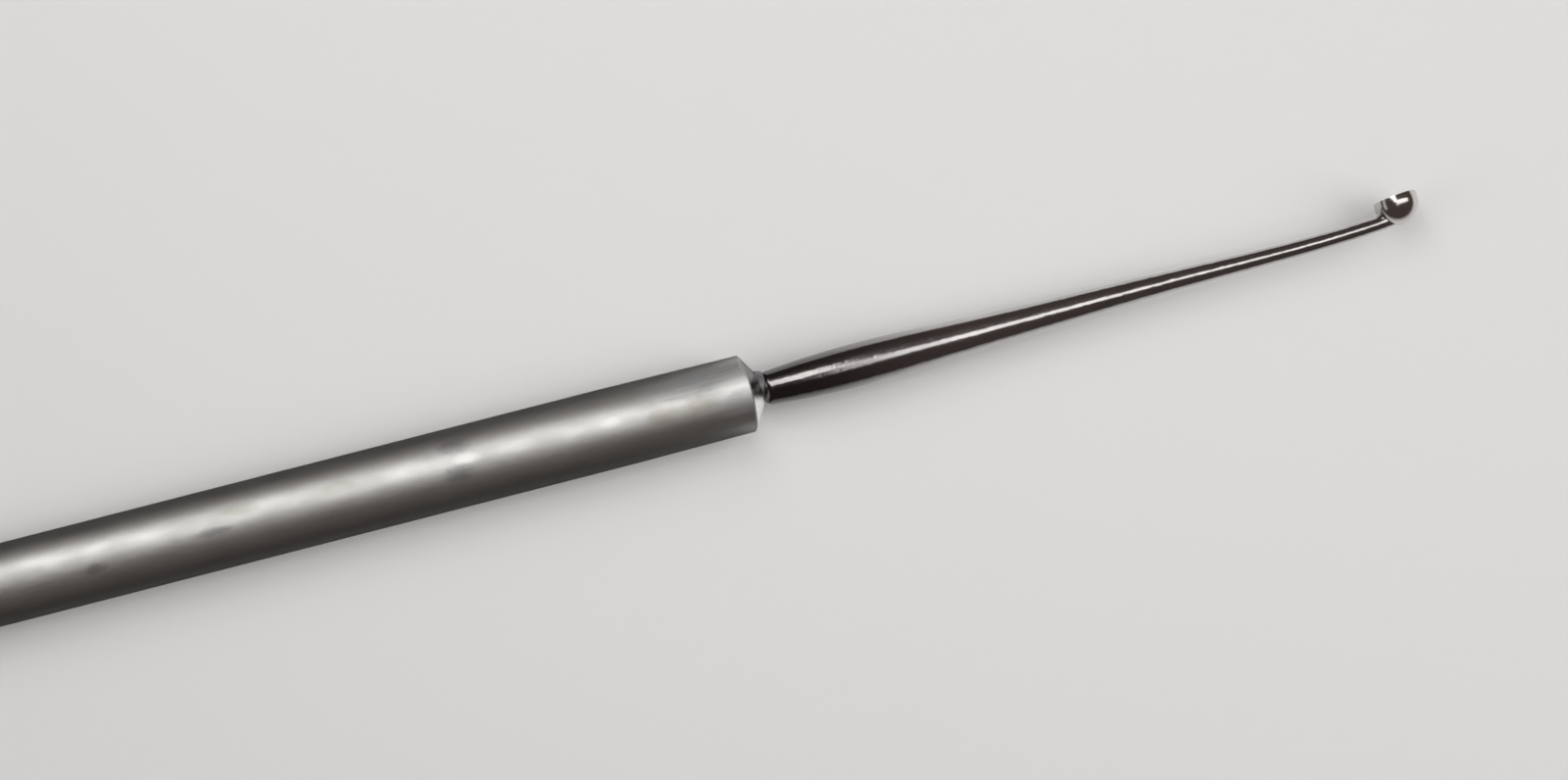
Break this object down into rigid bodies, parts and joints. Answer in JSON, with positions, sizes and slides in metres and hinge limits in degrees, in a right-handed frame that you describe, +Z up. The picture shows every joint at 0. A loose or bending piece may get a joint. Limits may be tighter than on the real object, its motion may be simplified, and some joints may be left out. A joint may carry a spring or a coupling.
{
  "type": "chalazion curette",
  "caption": "Slim eyelid curette: a plain round steel handle with a blunt conical nose, and a polished tapering shank ending in a tiny round sharp-rimmed cup.",
  "frame": {"origin": "on the plane the handle lies on, under the middle of the overall length and on the handle's centre line", "axes": "+X from the handle's rear face towards the cup, +Y the way the cup's mouth faces, +Z up"},
  "size_m": [0.133, 0.0046, 0.0046],
  "materials": {
    "satin_steel": "satin, with fine lengthwise scuffs and faint stains",
    "polished_steel": "bright polish with fine pitting along the highlight",
    "solder": "dull grey solder, dressed smooth"
  },
  "bodies": {
    "root": {"handle": "satin_steel", "shank_with_cup": "polished_steel", "solder_collar": "solder"}
  },
  "joints": []
}
